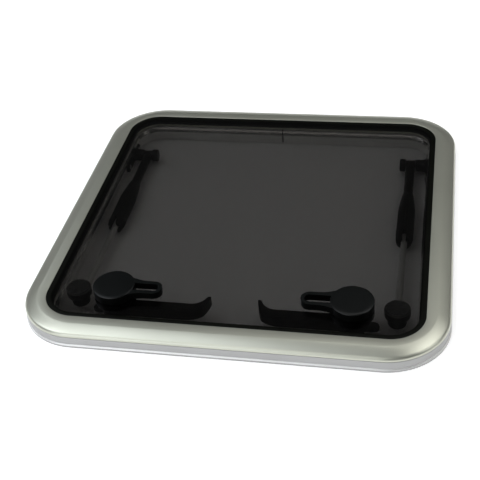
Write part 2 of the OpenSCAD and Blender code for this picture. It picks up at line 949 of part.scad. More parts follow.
module inner_lever(side) {
  color("#1c1d1b")
    at_handle(side)
      difference() {
        union() {
          translate([0, 0, hub_low])
            cylinder(d = hub_d, h = hub_h);
          translate([0, 0, hub_low])
            linear_extrude(lever_t)
              lever_outline();
        }
        translate([0, 0, hub_low - cut])
          cylinder(r = hex_d / 2 + fit_gap, h = hub_h + 2 * cut, $fn = 6);
      }
}

module latch_tongue(side) {
  color("gainsboro")
    at_handle(side)
      translate([0, 0, tongue_low])
        difference() {
          linear_extrude(tongue_t) {
            circle(d = tongue_hub_d);
            translate([0, -tongue_w / 2])
              square([tongue_reach - tongue_w / 2, tongue_w]);
            translate([tongue_reach - tongue_w / 2, 0])
              circle(d = tongue_w);
          }
          translate([0, 0, -cut])
            cylinder(r = hex_d / 2 + fit_gap, h = tongue_t + 2 * cut, $fn = 6);
        }
}

module lever_screw(side) {
  color("gainsboro")
    at_handle(side)
      translate([0, 0, tongue_low]) {
        translate([0, 0, -lever_head_h])
          cylinder(d1 = lever_head_d - lever_head_h, d2 = lever_head_d, h = lever_head_h);
        cylinder(d = lever_screw_d, h = lever_screw_l - face_gap);
      }
}

module stay_tube(side) {
  color("dimgray")
    at_stay(side)
      translate([0, 0, stay_z])
        difference() {
          union() {
            rod_y(tube_d / 2, tube_front, pivot_y);
            translate([0, pivot_y, 0])
              rod_x(eye_d / 2, -eye_w / 2, eye_w / 2);
          }
          rod_y(rod_d / 2 + run_gap, tube_front - cut, bore_end);
          translate([0, pivot_y, 0])
            rod_x(pivot_pin_d / 2 + run_gap, -eye_w, eye_w);
        }
}

module stay_grip(side) {
  color("#1c1d1b")
    at_stay(side)
      translate([0, 0, stay_z])
        difference() {
          rotate([-90, 0, 0])
            rotate_extrude()
              polygon([
                [rod_d / 2 + grip_rod_gap, grip_nose_y],
                [grip_nose_d / 2, grip_nose_y],
                [grip_d / 2, grip_body_y],
                [grip_d / 2, grip_taper_y],
                [grip_neck_d / 2, grip_rear_y],
                [tube_d / 2 + run_gap, grip_rear_y],
                [tube_d / 2 + run_gap, grip_step],
                [rod_d / 2 + grip_rod_gap, grip_step]
              ]);
          for (a = [0, 90])
            translate([0, grip_nose_y - cut, 0])
              rotate([0, a, 0])
                translate([-grip_d, 0, -grip_slot_w / 2])
                  cube([2 * grip_d, grip_slot_l + cut, grip_slot_w]);
        }
}

module stay_rod(side) {
  color("gainsboro")
    at_stay(side)
      translate([0, 0, stay_z])
        rod_y(rod_d / 2, rod_nose, rod_tail);
}

module stay_rod_end(side) {
  color("#1c1d1b")
    at_stay(side)
      difference() {
        translate([0, foot_y, rod_low])
          cylinder(d = rod_end_d, h = rod_top - rod_low);
        translate([0, foot_y, ball_z])
          sphere(r = cup_r);
        translate([0, 0, stay_z])
          rod_y(rod_d / 2 + fit_gap, rod_nose, foot_y + rod_end_d);
      }
}

base_frame();
latch_keeper(-1);  // latch_keeper_left
latch_keeper(1);  // latch_keeper_right
keeper_screws();
stay_bracket(-1);  // stay_bracket_left
stay_bracket(1);  // stay_bracket_right
bracket_screws();
pivot_pin(-1);  // pivot_pin_left
pivot_pin(1);  // pivot_pin_right
hinge_lugs(-1);  // hinge_lugs_left
hinge_lugs(1);  // hinge_lugs_right
hinge_lug_screws();
hinge_pin(-1);  // hinge_pin_left
hinge_pin(1);  // hinge_pin_right
lid_frame();
lens();
glazing_seal();
lid_gasket();
hinge_arm(-1);  // hinge_arm_left
hinge_arm(1);  // hinge_arm_right
hinge_arm_screws();
handle_bush(-1);  // handle_bush_left
handle_bush(1);  // handle_bush_right
handle_washer(-1);  // handle_washer_left
handle_washer(1);  // handle_washer_right
handle_nut(-1);  // handle_nut_left
handle_nut(1);  // handle_nut_right
stay_foot(-1);  // stay_foot_left
stay_foot(1);  // stay_foot_right
outer_handle(-1);  // outer_handle_left
outer_handle(1);  // outer_handle_right
spindle(-1);  // spindle_left
spindle(1);  // spindle_right
spindle_seal(-1);  // spindle_seal_left
spindle_seal(1);  // spindle_seal_right
inner_lever(-1);  // inner_lever_left
inner_lever(1);  // inner_lever_right
latch_tongue(-1);  // latch_tongue_left
latch_tongue(1);  // latch_tongue_right
lever_screw(-1);  // lever_screw_left
lever_screw(1);  // lever_screw_right
stay_tube(-1);  // stay_tube_left
stay_tube(1);  // stay_tube_right
stay_grip(-1);  // stay_grip_left
stay_grip(1);  // stay_grip_right
stay_rod(-1);  // stay_rod_left
stay_rod(1);  // stay_rod_right
stay_rod_end(-1);  // stay_rod_end_left
stay_rod_end(1);  // stay_rod_end_right
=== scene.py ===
import math

import bmesh
import bpy
from mathutils import Matrix, Vector


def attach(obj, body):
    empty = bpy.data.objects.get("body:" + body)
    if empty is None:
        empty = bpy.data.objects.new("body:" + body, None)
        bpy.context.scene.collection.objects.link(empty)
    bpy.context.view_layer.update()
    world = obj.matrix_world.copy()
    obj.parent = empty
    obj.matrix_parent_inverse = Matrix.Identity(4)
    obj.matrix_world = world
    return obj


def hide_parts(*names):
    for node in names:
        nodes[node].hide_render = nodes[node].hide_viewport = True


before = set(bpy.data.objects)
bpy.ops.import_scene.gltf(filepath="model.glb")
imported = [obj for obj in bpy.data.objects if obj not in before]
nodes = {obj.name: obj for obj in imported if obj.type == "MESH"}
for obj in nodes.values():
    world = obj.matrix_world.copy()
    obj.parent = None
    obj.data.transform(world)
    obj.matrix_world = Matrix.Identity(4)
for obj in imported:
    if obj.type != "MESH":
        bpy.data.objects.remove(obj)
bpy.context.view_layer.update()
mm = 0.001
weld = 1e-6  # points closer than this, in metres, become one
crease = 35  # degrees from which an edge counts as sharp
past = 1  # how far a cutter reaches past what it cuts
sides = {"left": -1, "right": 1}
signs = (-1, 1)
print("frame loaded,", len(nodes), "nodes")


def linked(name, data):
    obj = bpy.data.objects.new(name, data)
    bpy.context.scene.collection.objects.link(obj)
    return obj


def turned(angle, axis):
    return Matrix.Rotation(math.radians(angle), 4, axis)


# Camera, fitted to the outline of the hatch
viewer = {
    "place": (0.21833, -0.97339, 0.75054), "yaw": 14.1137, "pitch": 37.8634, "roll": -5.5962,
    "lens": 71.4, "sensor": 36, "nearest": 0.01,
}


def addCamera(s):
    camera = linked("viewer", bpy.data.cameras.new("viewer"))
    camera.data.lens = s["lens"]
    camera.data.sensor_width = s["sensor"]
    camera.data.clip_start = s["nearest"]
    spin = turned(s["yaw"], "Z") @ turned(90 - s["pitch"], "X") @ turned(s["roll"], "Z")
    camera.matrix_world = Matrix.Translation(s["place"]) @ spin
    bpy.context.scene.camera = camera


addCamera(viewer)
print("camera placed")

noiseRange = (0.3, 0.7)  # nearly all that a noise texture gives
evenly = (1, 1, 1)


def grainOf(tree, scale, detail, stretch=evenly):
    coords = tree.nodes.new("ShaderNodeTexCoord")
    mapping = tree.nodes.new("ShaderNodeMapping")
    mapping.inputs["Scale"].default_value = stretch
    noise = tree.nodes.new("ShaderNodeTexNoise")
    noise.inputs["Scale"].default_value = scale
    noise.inputs["Detail"].default_value = detail
    tree.links.new(coords.outputs["Object"], mapping.inputs["Vector"])
    tree.links.new(mapping.outputs["Vector"], noise.inputs["Vector"])
    return noise.outputs[0]


# One range of values laid over another
def ranged(tree, value, before, after, kind="LINEAR"):
    steps = tree.nodes.new("ShaderNodeMapRange")
    steps.interpolation_type = kind
    for key, number in zip(("From Min", "From Max", "To Min", "To Max"), (*before, *after)):
        steps.inputs[key].default_value = number
    tree.links.new(value, steps.inputs["Value"])
    return steps.outputs["Result"]


def joined(tree, how, first, second):
    step = tree.nodes.new("ShaderNodeMath")
    step.operation = how
    tree.links.new(first, step.inputs[0])
    if isinstance(second, float):
        step.inputs[1].default_value = second
    else:
        tree.links.new(second, step.inputs[1])
    return step.outputs[0]


def distanceTo(tree, point, middle):
    reach = tree.nodes.new("ShaderNodeVectorMath")
    reach.operation = "DISTANCE"
    reach.inputs[1].default_value = middle
    tree.links.new(point, reach.inputs[0])
    return reach.outputs["Value"]


def tinted(tree, factor, dark, light):
    mix = tree.nodes.new("ShaderNodeMix")
    mix.data_type = "RGBA"
    mix.inputs[6].default_value = (*dark, 1)  # 6 and 7 are the two colours
    mix.inputs[7].default_value = (*light, 1)
    tree.links.new(ranged(tree, factor, noiseRange, (0, 1)), mix.inputs[0])
    return mix.outputs[2]


# One finish from two tones, a range of roughness and a fine grain
def makeFinish(s):
    material = bpy.data.materials.new(s["name"])
    material.use_nodes = True
    tree = material.node_tree
    shader = tree.nodes["Principled BSDF"]
    shader.inputs["Metallic"].default_value = s["metal"]
    shader.inputs["Specular IOR Level"].default_value = s["shine"]
    stretch = s.get("stretch", evenly)
    patches = grainOf(tree, s["patches"], 2.0, stretch)
    grain = grainOf(tree, s["grain"], 3.0, stretch)
    tree.links.new(tinted(tree, patches, s["dark"], s["light"]), shader.inputs["Base Color"])
    tree.links.new(ranged(tree, grain, noiseRange, s["rough"]), shader.inputs["Roughness"])
    bump = tree.nodes.new("ShaderNodeBump")
    bump.inputs["Strength"].default_value = s["bump"]
    bump.inputs["Distance"].default_value = s["depth"]
    tree.links.new(grain, bump.inputs["Height"])
    tree.links.new(bump.outputs["Normal"], shader.inputs["Normal"])
    return material


# Metals of the two frames; the base frame's outer band takes a darker copy as painted shade, its inside and the
# lip's top a lighter one as painted light
anodised = makeFinish({
    "name": "anodised", "dark": (0.50, 0.51, 0.43), "light": (0.55, 0.56, 0.475),
    "rough": (0.33, 0.39), "metal": 0.82, "shine": 0.5,
    "patches": 9, "grain": 1400, "bump": 0.06, "depth": 0.0002,
})
shadedBandMilled = makeFinish({
    "name": "shadedBandMilled", "dark": (0.345, 0.345, 0.34), "light": (0.385, 0.385, 0.38),
    "rough": (0.40, 0.47), "metal": 1.0, "shine": 0.5,
    "patches": 12, "grain": 1800, "bump": 0.05, "depth": 0.0002,
})
litCoamingSatin = makeFinish({
    "name": "litCoamingSatin", "dark": (0.74, 0.74, 0.72), "light": (0.80, 0.80, 0.78),
    "rough": (0.4, 0.5), "metal": 0.5, "shine": 0.5,
    "patches": 12, "grain": 1200, "bump": 0.05, "depth": 0.0002,
})
polishedRim = makeFinish({
    "name": "polishedRim", "dark": (0.88, 0.88, 0.86), "light": (0.93, 0.93, 0.91),
    "rough": (0.2, 0.26), "metal": 1.0, "shine": 0.5,
    "patches": 15, "grain": 700, "bump": 0.03, "depth": 0.0001,
})

# Nylon for the handles' tops, a darker copy for their walls as painted shade, the levers and stays, and a
# lighter one for the feet's tops as painted light; sealant and rubber
blackNylon = makeFinish({
    "name": "blackNylon", "dark": (0.003, 0.0037, 0.0036), "light": (0.0042, 0.005, 0.0048),
    "rough": (0.17, 0.22), "metal": 0.0, "shine": 0.2,
    "patches": 40, "grain": 2200, "bump": 0.08, "depth": 0.0002,
})
# a darker, duller copy of the nylon for the handles' walls, as painted shade
shadedWallNylon = makeFinish({
    "name": "shadedWallNylon", "dark": (0.0010, 0.0011, 0.0010), "light": (0.0018, 0.0020, 0.0018),
    "rough": (0.3, 0.4), "metal": 0.0, "shine": 0.04,
    "patches": 40, "grain": 2200, "bump": 0.1, "depth": 0.0002,
})
darkNylon = makeFinish({
    "name": "darkNylon", "dark": (0.0012, 0.0013, 0.0012), "light": (0.002, 0.0022, 0.002),
    "rough": (0.42, 0.52), "metal": 0.0, "shine": 0.22,
    "patches": 40, "grain": 2200, "bump": 0.1, "depth": 0.0002,
})
# a lighter nylon for the feet's tops only, as painted light
litFootTopNylon = makeFinish({
    "name": "litFootTopNylon", "dark": (0.115, 0.115, 0.11), "light": (0.14, 0.14, 0.132),
    "rough": (0.3, 0.38), "metal": 0.0, "shine": 0.3,
    "patches": 60, "grain": 1800, "bump": 0.1, "depth": 0.0002,
})
sealant = makeFinish({
    "name": "sealant", "dark": (0.0015, 0.0018, 0.001), "light": (0.003, 0.0034, 0.0022),
    "rough": (0.3, 0.42), "metal": 0.0, "shine": 0.06,
    "patches": 30, "grain": 500, "bump": 0.15, "depth": 0.0003,
})
softRubber = makeFinish({
    "name": "softRubber", "dark": (0.006, 0.006, 0.0055), "light": (0.010, 0.010, 0.009),
    "rough": (0.6, 0.75), "metal": 0.0, "shine": 0.3,
    "patches": 60, "grain": 900, "bump": 0.2, "depth": 0.0003,
})

# Drawn and cast metal; the grain of tubes, rods and screws is stretched along y
blackTube = makeFinish({
    "name": "blackTube", "dark": (0.010, 0.010, 0.010), "light": (0.016, 0.016, 0.015),
    "rough": (0.3, 0.4), "metal": 0.6, "shine": 0.4,
    "patches": 30, "grain": 900, "bump": 0.08, "depth": 0.0002, "stretch": (1, 0.05, 1),
})
brightSteel = makeFinish({
    "name": "brightSteel", "dark": (0.52, 0.52, 0.50), "light": (0.60, 0.60, 0.58),
    "rough": (0.22, 0.34), "metal": 1.0, "shine": 0.5,
    "patches": 60, "grain": 1600, "bump": 0.06, "depth": 0.0002, "stretch": (1, 0.08, 1),
})
darkCast = makeFinish({
    "name": "darkCast", "dark": (0.008, 0.008, 0.0075), "light": (0.014, 0.014, 0.013),
    "rough": (0.45, 0.6), "metal": 0.0, "shine": 0.3,
    "patches": 50, "grain": 1500, "bump": 0.15, "depth": 0.0002,
})
satinRod = makeFinish({
    "name": "satinRod", "dark": (0.62, 0.62, 0.60), "light": (0.68, 0.68, 0.66),
    "rough": (0.45, 0.52), "metal": 0.85, "shine": 0.5,
    "patches": 20, "grain": 900, "bump": 0.03, "depth": 0.0001, "stretch": (1, 0.05, 1),
})

# Smoked acrylic: bends what is seen through it, and lets lamps shine in
smoke = {
    "tint": (0.250, 0.243, 0.235), "bend": 1.49, "rough": (0.015, 0.03), "haze": (35, 4.0),
    "lampShare": 0.51,  # how much of a lamp's light comes through
}


def makeSmokedLens(s):
    material = bpy.data.materials.new("smokedLens")
    material.use_nodes = True
    tree = material.node_tree
    shader = tree.nodes["Principled BSDF"]
    shader.inputs["Base Color"].default_value = (*s["tint"], 1)
    shader.inputs["Transmission Weight"].default_value = 1.0
    shader.inputs["IOR"].default_value = s["bend"]
    haze = grainOf(tree, *s["haze"])
    tree.links.new(ranged(tree, haze, noiseRange, s["rough"]), shader.inputs["Roughness"])
    through = tree.nodes.new("ShaderNodeBsdfTransparent")
    through.inputs["Color"].default_value = (s["lampShare"],) * 3 + (1,)
    rays = tree.nodes.new("ShaderNodeLightPath")
    mix = tree.nodes.new("ShaderNodeMixShader")
    tree.links.new(rays.outputs["Is Shadow Ray"], mix.inputs[0])
    tree.links.new(shader.outputs[0], mix.inputs[1])
    tree.links.new(through.outputs[0], mix.inputs[2])
    tree.links.new(mix.outputs[0], tree.nodes["Material Output"].inputs["Surface"])
    return material


smokedLens = makeSmokedLens(smoke)


def dress(finish, *names):
    for name in names:
        slots = nodes[name].data.materials
        slots.clear()
        slots.append(finish)


def both(name):
    return [name + "_" + side for side in sides]


# Nodes that show as they are; all others get a finer piece below
dress(smokedLens, "lens")
dress(sealant, "glazing_seal")
dress(softRubber, "lid_gasket", *both("handle_washer"), *both("spindle_seal"))
dress(darkNylon, *both("handle_bush"))
dress(blackTube, *both("stay_tube"))
dress(brightSteel, "hinge_arm_screws", *both("hinge_pin"), *both("spindle"))
dress(satinRod, *both("stay_rod"))
print("finishes made")


def cleaned(bm):
    bmesh.ops.remove_doubles(bm, verts=bm.verts, dist=weld)
    bmesh.ops.recalc_face_normals(bm, faces=bm.faces)
    return bm


def meshOf(name, bm):
    mesh = bpy.data.meshes.new(name)
    bm.to_mesh(mesh)
    bm.free()
    return mesh


def addPiece(name, bm, finish, body, sharp=crease):
    mesh = meshOf(name, cleaned(bm))
    mesh.materials.append(finish)
    mesh.polygons.foreach_set("use_smooth", [True] * len(mesh.polygons))
    mesh.set_sharp_from_angle(angle=math.radians(sharp))
    piece = linked(name, mesh)
    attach(piece, body)
    return piece


def only(kind, geom):
    return [g for g in geom if isinstance(g, kind)]


def arcPoints(centre, radius, first, last, steps):
    points = []
    for i in range(steps + 1):
        angle = math.radians(first + (last - first) * i / steps)
        points.append((centre[0] + radius * math.cos(angle), centre[1] + radius * math.sin(angle)))
    return points


# Outline of the lid: half its width, and corner radii at its edge and for all that follows the lens
hatch = {"half": 250, "outer": 74, "inner": 68.5, "cornerSteps": 28}


# A square loop of edges with rounded corners
def roundedLoop(bm, half, radius, z):
    place = Matrix.Translation((0, 0, z * mm)) @ turned(45, "Z")
    made = bmesh.ops.create_circle(
        bm, cap_ends=True, segments=4, radius=half * mm * math.sqrt(2), matrix=place)
    bmesh.ops.bevel(
        bm, geom=made["verts"], offset=radius * mm, offset_type="OFFSET",
        affect="VERTICES", segments=hatch["cornerSteps"], profile=0.5, material=-1)
    bmesh.ops.delete(bm, geom=list(bm.faces), context="FACES_ONLY")
    return list(bm.edges)


# How far inside the lid's outer edge a point lies, seen from above
def insetAt(point):
    x, y = abs(point.x) / mm, abs(point.y) / mm
    half, corner = hatch["half"], hatch["outer"]
    if min(x, y) > half - corner:
        return corner - math.hypot(x - half + corner, y - half + corner)
    return half - max(x, y)


def cornered(points, corner):
    return [(u, z, corner) for u, z in points]


# Draws a closed section round the hatch; each point is (inset, height, corner radius at no inset)
def ringFrom(section):
    bm = bmesh.new()
    half = hatch["half"]
    u, z, corner = section[0]
    edges = roundedLoop(bm, half - u, corner - u, z)
    middle = half - corner
    for u, z, corner in section[1:] + section[:1]:
        grown = bmesh.ops.extrude_edge_only(bm, edges=edges)["geom"]
        edges = only(bmesh.types.BMEdge, grown)
        turn = half - corner
        for v in only(bmesh.types.BMVert, grown):
            old = Vector((math.copysign(middle, v.co.x), math.copysign(middle, v.co.y), v.co.z / mm))
            out = (v.co / mm - old).normalized()
            new = Vector((math.copysign(turn, v.co.x), math.copysign(turn, v.co.y), z))
            v.co = (new + out * (corner - u)) * mm
        middle = turn
    return bm


# Lid frame: crowned top, skirt outside, lens ledge and gasket channel below
lidRing = {
    "top": 23, "lensEdge": 27.5, "ease": 0.4, "sharp": 28,
    # arcs of the crown: middle, radius, from and to angle, steps
    "crown": [
        ((16.1, 15), 8, 90, 100, 5), ((25.34, -37.39), 61.2, 100, 111.2, 6), ((5, 15), 5, 111.2, 180, 14),
    ],
    "skirt": [(0, 15), (0, 14.8), (0.2, 14.6), (2.6, 14.6), (2.8, 14.8), (2.8, 16.3), (8, 19.8)],
    "under": [
        (24.5, 19.8), (24.5, 11.8), (18.4, 11.8), (18.4, 4.8), (18.6, 4.6), (21, 4.6), (21.2, 4.8), (21.2, 9.5),
        (31.7, 9.5), (31.7, 4.8), (31.9, 4.6), (34.3, 4.6), (34.5, 4.8), (34.5, 11.8), (27.5, 11.8),
    ],
}


def makeLidRing(s):
    outside = [point for arc in s["crown"] for point in arcPoints(*arc)[:-1]] + s["skirt"]
    lip = arcPoints((s["lensEdge"] - s["ease"], s["top"] - s["ease"]), s["ease"], 0, 90, 4)
    section = cornered(outside, hatch["outer"]) + cornered(s["under"] + lip, hatch["inner"])
    ring = addPiece("lidRing", ringFrom(section), anodised, "lid", s["sharp"])
    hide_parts("lid_frame")


makeLidRing(lidRing)
print("lid frame made")

# Sealant bead smoothed over the edge of the lens
bead = {"sharp": 50, "section": [
    (27.5, 20.5), (27.5, 22.7), (27.8, 22.86), (28.6, 22.96), (30.5, 23), (32.4, 22.97), (33.4, 22.88),
    (33.8, 22.73), (31.52, 22.73), (30.48, 21.69), (30.48, 20.5),
]}
# Black edge trim on the inside of the lens ledge
trim = {"sharp": 50, "section": [
    (34.5, 11.8), (34.5, 8.2), (34.8, 8.0), (35.1, 8.05), (35.3, 8.3), (35.4, 8.8), (35.4, 11.2), (35.1, 11.8),
]}


def makeStrip(name, s, finish):
    section = cornered(s["section"], hatch["inner"])
    addPiece(name, ringFrom(section), finish, "lid", s["sharp"])


makeStrip("sealantBead", bead, sealant)
makeStrip("ledgeTrim", trim, softRubber)
print("sealant bead and edge trim made")


# Two shapes made one, or one cut out of the other
def combined(first, second, how):
    made = [linked("raw", meshOf("raw", cleaned(bm))) for bm in (first, second)]
    step = made[0].modifiers.new("step", "BOOLEAN")
    step.operation = how
    step.object = made[1]
    result = bmesh.new()
    result.from_object(made[0], bpy.context.evaluated_depsgraph_get())
    for obj in made:
        mesh = obj.data
        bpy.data.objects.remove(obj)
        bpy.data.meshes.remove(mesh)
    return result


# A profile of (radius, height) points turned about a line along one axis
def turnedShape(profile, middle, steps=72, along="Z"):
    bm = bmesh.new()
    middle = Vector(middle) * mm
    axis = Vector([float(along == letter) for letter in "XYZ"])
    out = Vector((0, 0, 1)) if along == "X" else Vector((1, 0, 0))
    verts = [bm.verts.new(middle + out * (r * mm) + axis * (h * mm)) for r, h in profile]
    edges = [bm.edges.new(pair) for pair in zip(verts, verts[1:])]
    bmesh.ops.spin(
        bm, geom=verts + edges, cent=middle, axis=axis, dvec=(0, 0, 0),
        angle=2 * math.pi, steps=steps, use_merge=True)
    return cleaned(bm)


# A flat outline of (x, y, corner rounding) raised from one height to another
def raisedShape(outline, low, high, steps=8):
    bm = bmesh.new()
    verts = [bm.verts.new((x * mm, y * mm, low * mm)) for x, y, r in outline]
    bm.faces.new(verts)
    for v, (x, y, r) in zip(verts, outline):
        if r:
            bmesh.ops.bevel(
                bm, geom=[v], offset=r * mm, offset_type="OFFSET", affect="VERTICES",
                segments=steps, profile=0.5, material=-1)
    grown = bmesh.ops.extrude_face_region(bm, geom=list(bm.faces))["geom"]
    rise = only(bmesh.types.BMVert, grown)
    bmesh.ops.translate(bm, verts=rise, vec=(0, 0, (high - low) * mm))
    bmesh.ops.recalc_face_normals(bm, faces=bm.faces)
    return bm


# Moves a shape into place, mirrored across the hatch where asked
def placed(bm, x, y, mirrored):
    bmesh.ops.scale(bm, verts=bm.verts, vec=(mirrored, 1, 1))
    bmesh.ops.translate(bm, verts=bm.verts, vec=(x * mm, y * mm, 0))
    bmesh.ops.recalc_face_normals(bm, faces=bm.faces)
    return bm


def soften(piece, width):
    edge = piece.modifiers.new("softEdge", "BEVEL")
    edge.width = width * mm
    edge.segments = 3
    edge.limit_method = "ANGLE"
    edge.angle_limit = math.radians(crease)
    edge.use_clamp_overlap = True
    edge.harden_normals = True


def at(x, y, z, turn=Matrix()):
    return Matrix.Translation((x * mm, y * mm, z * mm)) @ turn


def addBlock(bm, low, high):
    size = Vector(high) - Vector(low)
    place = Matrix.Translation((Vector(high) + Vector(low)) * 0.5 * mm)
    bmesh.ops.create_cube(bm, size=mm, matrix=place @ Matrix.Diagonal((*size, 1)))


def addRod(bm, radius, middle, length, turn=Matrix(), steps=32):
    bmesh.ops.create_cone(
        bm, cap_ends=True, segments=steps, radius1=radius * mm, radius2=radius * mm, depth=length * mm,
        matrix=at(*middle, turn))


# Base frame: flange with a lip, outer wall, gasket rib, and a coaming whose rim is round below and flat on top
baseRing = {
    "top": 14.2, "wall": 2.5, "flange": 3, "depth": -19, "chamfer": 0.2, "edge": 0.3, "ease": 0.4, "sharp": 32,
    "rib": (24.95, 27.95, 5.7),  # outer face, inner face, top
    "coaming": (31, 34.5),  # outer face, inner face
    "rim": (-1.9, 3.4, -20),  # middle height, bulge, angle where its round part ends
    "rimTop": (0.9, 0.4),  # end of the flat face: in from the coaming, above the bulge
    "lip": [
        (0, 4.5), (-0.12, 4.42), (-1.1, 3.0), (-1.18, 2.8), (-1.2, 2.6), (-1.2, 0.5), (-1.0, 0.15), (-0.7, 0),
    ],
    "lipSlope": 2.6,  # the lip slopes in above this height
    "deckHoles": (104, 236, 2.6),  # pitch, distance from the middle, radius
    "hinge": 104, "notch": (12.8, 246.5, 252, 8.2),  # half width, front, rear, bottom
    "joint": (0.9, 211.1, 218.4),  # half width, front, rear
    "screwHole": (1.92, 3.6),  # radius, length
}
# Small screws of the base: where they stand, where their heads sit, how their recesses are turned
keeperRow = {"x": 140, "pitch": 12, "z": -12.65, "seat": -212.5, "length": 4.8, "twist": 20}
bracketRow = {"y": (126.2, 174.2), "z": -11.35, "seat": 211.5, "length": 5.8}
lugRow = {"x": 36.3, "pitch": 5, "z": 9.35, "seat": 252.6, "length": 4.4, "twist": (10, 35)}


def keeperSpots(row):
    return [(sign * row["x"] + k * row["pitch"], row["twist"] * k) for sign in signs for k in signs]


def bracketSpots(row):
    return [(sign, y) for sign in signs for y in row["y"]]


def lugSpots(row, hinge):
    first, second = row["twist"]
    return [
        (sign * hinge + j * row["x"] + k * row["pitch"], first * j + second * k)
        for sign in signs for j in signs for k in signs]


def baseCuts(s):
    bm = bmesh.new()
    flange = s["flange"]
    pitch, away, radius = s["deckHoles"]
    for step in (-1.5, -0.5, 0.5, 1.5):
        for sign in signs:
            addRod(bm, radius, (step * pitch, sign * away, flange / 2), flange + 2 * past)
            addRod(bm, radius, (sign * away, step * pitch, flange / 2), flange + 2 * past)
    half, front, rear, low = s["notch"]
    for sign in signs:
        x = sign * s["hinge"]
        addBlock(bm, (x - half, front, low), (x + half, rear, s["top"] + past))
    radius, length = s["screwHole"]
    wall = hatch["half"] - s["coaming"][1]
    for x, twist in keeperSpots(keeperRow):
        addRod(bm, radius, (x, -wall, keeperRow["z"]), length, turned(90, "X"))
    for x, twist in lugSpots(lugRow, s["hinge"]):
        addRod(bm, radius, (x, hatch["half"], lugRow["z"]), length, turned(90, "X"))
    for sign, y in bracketSpots(bracketRow):
        addRod(bm, radius, (sign * wall, y, bracketRow["z"]), length, turned(90, "Y"))
    half, front, rear = s["joint"]
    addBlock(bm, (-half, front, s["depth"] - past), (half, rear, flange + past))
    return bm


def makeBaseRing(s):
    top, wall, flange, depth = s["top"], s["wall"], s["flange"], s["depth"]
    chamfer, edge, ease = s["chamfer"], s["edge"], s["ease"]
    low, high, ribTop = s["rib"]
    back, face = s["coaming"]
    middle, bulge, last = s["rim"]
    out, up = s["rimTop"]
    outside = [(wall - chamfer, top), (edge, top), (edge / 3, top - edge / 3), (0, top - edge)] + s["lip"]
    inside = [
        (back, 0), (back, depth + edge), (back + edge, depth), (face - edge, depth), (face, depth + edge),
        *arcPoints((face, middle), bulge, -90, last, 7), (face + out, middle + bulge + up),
        (face, flange - ease), (face - ease, flange), (high, flange), (high, ribTop - ease),
        (high - ease, ribTop), (low + ease, ribTop), (low, ribTop - ease), (low, flange),
    ]
    section = cornered(outside, hatch["outer"]) + cornered(inside, hatch["inner"])
    section += cornered([(wall, flange), (wall, top - chamfer)], hatch["outer"])
    shape = combined(ringFrom(section), baseCuts(s), "DIFFERENCE")
    ring = addPiece("baseRing", shape, shadedBandMilled, "base", s["sharp"])
    mesh = ring.data
    finishes = [shadedBandMilled, litCoamingSatin, polishedRim, sealant]
    for finish in finishes[1:]:
        mesh.materials.append(finish)
    jointHalf = s["joint"][0] * 1.05 * mm  # a little over, so that the faces of the joint are in it
    # painted shade and light: the outer band keeps the darker copy, the inside and the lip's top take the
    # lighter one
    for f in mesh.polygons:
        inset, z = insetAt(f.center), f.center.z / mm
        if max(abs(mesh.vertices[v].co.x) for v in f.vertices) < jointHalf:
            f.material_index = finishes.index(sealant)  # the butt joint is filled black
        elif inset > face - chamfer and abs(z - middle) < bulge:
            f.material_index = finishes.index(polishedRim)
        elif inset > wall - edge or (inset < 0 and z > s["lipSlope"]):
            f.material_index = finishes.index(litCoamingSatin)
    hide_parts("base_frame")


makeBaseRing(baseRing)
print("base frame made")

# Screws: a low dome with a cross or a six-sided recess, drawn with the shank up from the head's seat
smallScrew = {"head": 3.5, "rise": 2, "shank": 1.9, "tip": 0.4, "cross": (2.1, 0.5), "sunk": 1.2}
leverScrew = {
    "head": 5.5, "rise": 3, "shank": 3, "tip": 0.4, "socket": 2.9, "sunk": 2.0,
    "length": 13.7, "seat": -12, "twist": 11,
}
# the dome as shares of the head's radius and rise
screwDome = [(0, 1), (0.45, 1), (0.7, 0.93), (0.87, 0.72), (0.97, 0.4), (1, 0.12), (0.97, 0)]


def screwShape(s, length):
    rise, shank, tip, sunk = s["rise"], s["shank"], s["tip"], s["sunk"]
    profile = [(out * s["head"], -up * rise) for out, up in screwDome]
    profile += [(shank, 0), (shank, length - tip), (shank - tip, length), (0, length)]
    shape = turnedShape(profile, (0, 0, 0), steps=40)
    cutter = bmesh.new()
    if "cross" in s:
        reach, half = s["cross"]
        addBlock(cutter, (-reach, -half, -rise - past), (reach, half, sunk - rise))
        other = bmesh.new()
        addBlock(other, (-half, -reach, -rise - past), (half, reach, sunk - rise))
        cutter = combined(cutter, other, "UNION")
    else:
        addRod(cutter, s["socket"], (0, 0, (sunk - past) / 2 - rise), sunk + past, steps=6)
    return combined(shape, cutter, "DIFFERENCE")


def addScrews(name, node, shape, places, body):
    one = meshOf("raw", shape)
    bm = bmesh.new()
    for place in places:
        known = set(bm.verts)
        bm.from_mesh(one)
        bmesh.ops.transform(bm, matrix=place, verts=[v for v in bm.verts if v not in known])
    bpy.data.meshes.remove(one)
    screws = addPiece(name, bm, brightSteel, body, sharp=30)
    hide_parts(node)


def makeScrews(small, large, hinge):
    inwards = turned(90, "X")
    row = keeperRow
    places = [at(x, row["seat"], row["z"], inwards @ turned(twist, "Z")) for x, twist in keeperSpots(row)]
    addScrews("keeperScrews", "keeper_screws", screwShape(small, row["length"]), places, "base")
    row = bracketRow  # their recesses are turned by where they stand
    places = [
        at(sign * row["seat"], y, row["z"], turned(90 * sign, "Y") @ turned(y, "Z"))
        for sign, y in bracketSpots(row)]
    addScrews("bracketScrews", "bracket_screws", screwShape(small, row["length"]), places, "base")
    row = lugRow
    places = [at(x, row["seat"], row["z"], inwards @ turned(twist, "Z")) for x, twist in lugSpots(row, hinge)]
    addScrews("lugScrews", "hinge_lug_screws", screwShape(small, row["length"]), places, "base")
    for side, sign in sides.items():
        places = [at(sign * handle["x"], handle["y"], large["seat"], turned(large["twist"], "Z"))]
        shape = screwShape(large, large["length"])
        addScrews(side + "LeverScrew", "lever_screw_" + side, shape, places, side + "_handle")


